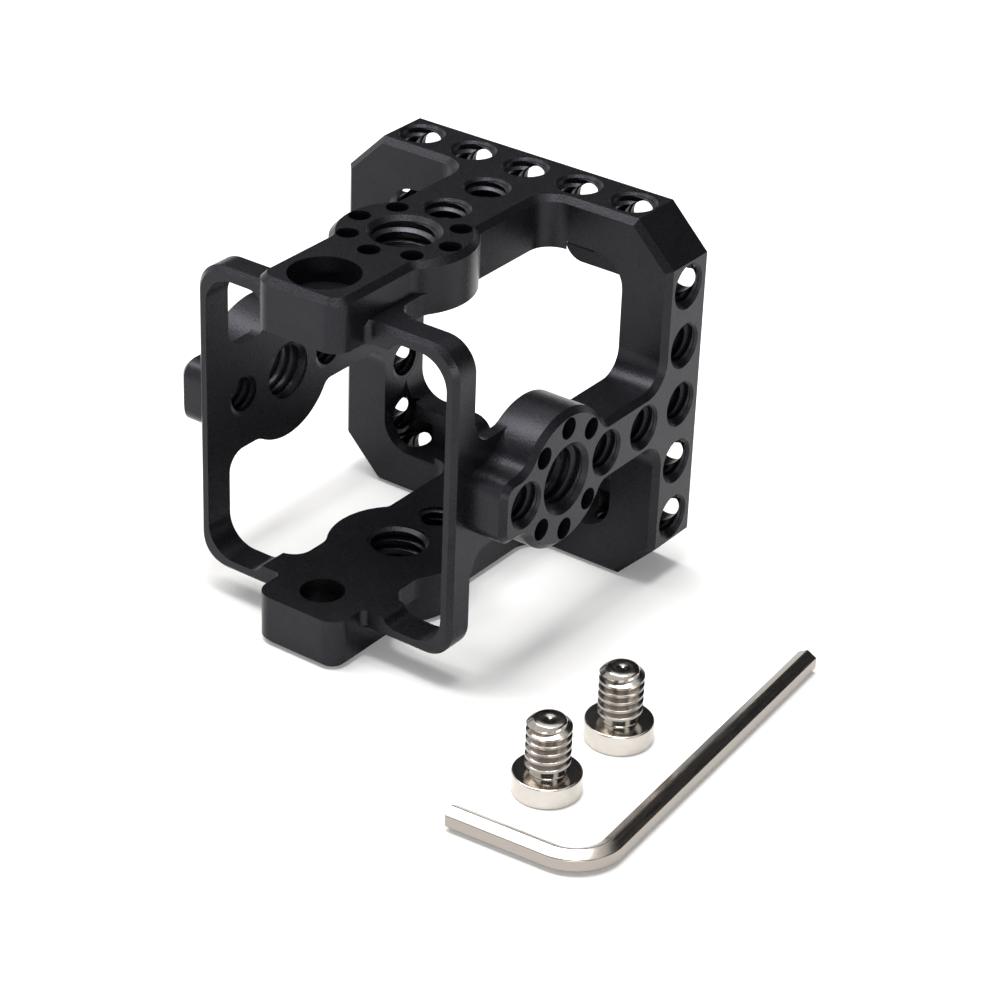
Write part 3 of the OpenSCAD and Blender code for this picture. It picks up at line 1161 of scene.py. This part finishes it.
@dataclass(frozen=True)
class DarkCard:
    """A black card beside the set, as used round bright metal. Lengths in metres."""

    name: str
    place: Point
    size: tuple[float, float]
    colour: str = "#17171a"

    def build(self, aim: Vector) -> None:
        """Build the card.

        Args:
            aim: point that the card is turned to.
        """
        w, h = self.size[0] / 2, self.size[1] / 2
        mesh = bpy.data.meshes.new(self.name)
        mesh.from_pydata([(-w, -h, 0), (w, -h, 0), (w, h, 0), (-w, h, 0)], [], [(0, 1, 2, 3)])
        material = blank_material(self.name)
        tree = material.node_tree
        matt = add_node(tree, "ShaderNodeBsdfDiffuse", {"Color": linear(self.colour)})
        add_node(tree, "ShaderNodeOutputMaterial", {"Surface": matt})
        mesh.materials.append(material)
        card = mesh_object(self.name, mesh)
        card.location = self.place
        card.rotation_euler = (Vector(self.place) - aim).to_track_quat("-Z", "Y").to_euler()
        card.visible_camera = False


@dataclass
class Studio:
    """White table, soft light and the camera at the photograph's viewing angle."""

    aim: Point = (0.015, 0.0, 0.02)
    floor_half: float = 4.0
    floor_colour: str = "#ecebea"
    floor_lift: float = 0.18
    world_colour: str = "#ffffff"
    ambient: float = 0.5
    lens_mm: float = 111.561
    eye: Point = (0.2383, -0.3140, 0.24105)
    azimuth_deg: float = 35.045
    elevation_deg: float = 29.758
    roll_deg: float = 2.241

    @staticmethod
    def lamps() -> list[SoftBox]:
        """Return the soft lamps."""
        return [
            SoftBox("overhead_soft_box", (0.0, 0.0, 1.0), (0.45, 0.45), 10.0),
            SoftBox("left_soft_box", (-0.5, -0.13, 0.95), (0.45, 0.55), 5.0),
            SoftBox("front_strip", (0.7, -0.92, 0.16), (0.8, 0.3), 4.0),
        ]

    @staticmethod
    def cards() -> list[DarkCard]:
        """Return the black cards."""
        return [
            DarkCard("back_card", (0.05, 1.0, 0.55), (2.6, 0.8)),
            DarkCard("back_right_card", (0.95, 0.85, 0.8), (1.3, 1.2)),
            DarkCard("front_card", (0.57, -0.78, 0.62), (1.5, 0.62)),
        ]

    def floor(self) -> None:
        """Build the white table, which stays white to camera and keeps its shadows."""
        h = self.floor_half
        mesh = bpy.data.meshes.new("table")
        mesh.from_pydata([(-h, -h, 0), (h, -h, 0), (h, h, 0), (-h, h, 0)], [], [(0, 1, 2, 3)])
        material = blank_material("white_table")
        tree = material.node_tree
        matt = add_node(tree, "ShaderNodeBsdfDiffuse", {"Color": linear(self.floor_colour)})
        ray = add_node(tree, "ShaderNodeLightPath").outputs
        lift = add_node(
            tree, "ShaderNodeMath", [ray["Is Camera Ray"], self.floor_lift], operation="MULTIPLY"
        )
        glow = add_node(tree, "ShaderNodeEmission", {"Strength": lift})
        both = add_node(tree, "ShaderNodeAddShader", [matt, glow])
        add_node(tree, "ShaderNodeOutputMaterial", {"Surface": both})
        mesh.materials.append(material)
        mesh_object("table", mesh)

    @staticmethod
    def seen_share(tree: bpy.types.NodeTree) -> bpy.types.Node:
        """Add nodes that give 1 for camera, glossy and transmission rays, and 0 for the rest.

        Args:
            tree: node tree that they go into.

        Returns:
            The last of them.
        """
        ray = add_node(tree, "ShaderNodeLightPath").outputs
        first = add_node(
            tree,
            "ShaderNodeMath",
            [ray["Is Camera Ray"], ray["Is Glossy Ray"]],
            operation="MAXIMUM",
        )
        return add_node(
            tree, "ShaderNodeMath", [first, ray["Is Transmission Ray"]], operation="MAXIMUM"
        )

    def surroundings(self) -> None:
        """Build the white world: full white where it is seen, a plain ambient light elsewhere."""
        world = bpy.data.worlds.new("white_surroundings")
        bpy.context.scene.world = world
        world.use_nodes = True
        tree = world.node_tree
        tree.nodes.clear()
        level = add_node(
            tree,
            "ShaderNodeMapRange",
            {"Value": self.seen_share(tree), "To Min": self.ambient, "To Max": 1.0},
        )
        background = add_node(
            tree, "ShaderNodeBackground", {"Color": linear(self.world_colour), "Strength": level}
        )
        add_node(tree, "ShaderNodeOutputWorld", {"Surface": background})

    def camera(self) -> None:
        """Build the camera and make it the scene's."""
        data = bpy.data.cameras.new("photo_camera")
        data.sensor_width, data.lens = 36.0, self.lens_mm
        data.clip_start, data.clip_end = 0.02, 20.0
        eye = bpy.data.objects.new("photo_camera", data)
        bpy.context.scene.collection.objects.link(eye)
        aimed = Matrix.Rotation(math.radians(self.azimuth_deg), 4, "Z")
        tilted = Matrix.Rotation(math.radians(90 - self.elevation_deg), 4, "X")
        rolled = Matrix.Rotation(math.radians(self.roll_deg), 4, "Z")
        eye.matrix_world = Matrix.Translation(self.eye) @ aimed @ tilted @ rolled
        bpy.context.scene.camera = eye

    def build(self) -> None:
        """Build the table, the world, the lamps, the cards and the camera."""
        self.floor()
        self.surroundings()
        for item in [*self.lamps(), *self.cards()]:
            item.build(Vector(self.aim))
        self.camera()


def main() -> None:
    """Build the studio and every piece, and report each one."""
    logging.basicConfig(level=logging.INFO, format="%(message)s")
    scene = bpy.context.scene
    scene.view_settings.view_transform = "Standard"
    Studio().build()
    ridge = ThreadRidge()
    black = BlackAnodising().build()
    turned = TurnedNickel().build()
    # Copy for the screws' thread: rougher, and darker in colour as painted shade on the thread's
    # flanks
    cut = TurnedNickel(
        name="nickel_with_painted_thread_shade", colour="#b4afa9", dull="#928d88", roughness=0.2
    ).build()
    parts = [
        TappedCage(black, ridge),
        CameraScrew("camera_screw_1", (47.4, -28.3), turned, cut, ridge),
        CameraScrew("camera_screw_2", (47.9, -11.8), turned, cut, ridge),
        HexKey(DrawnNickel().build()),
    ]
    for part in parts:
        for piece in part.build():
            log.info("%s: %d faces", piece.name, len(piece.data.polygons))


if __name__ == "__main__":
    main()
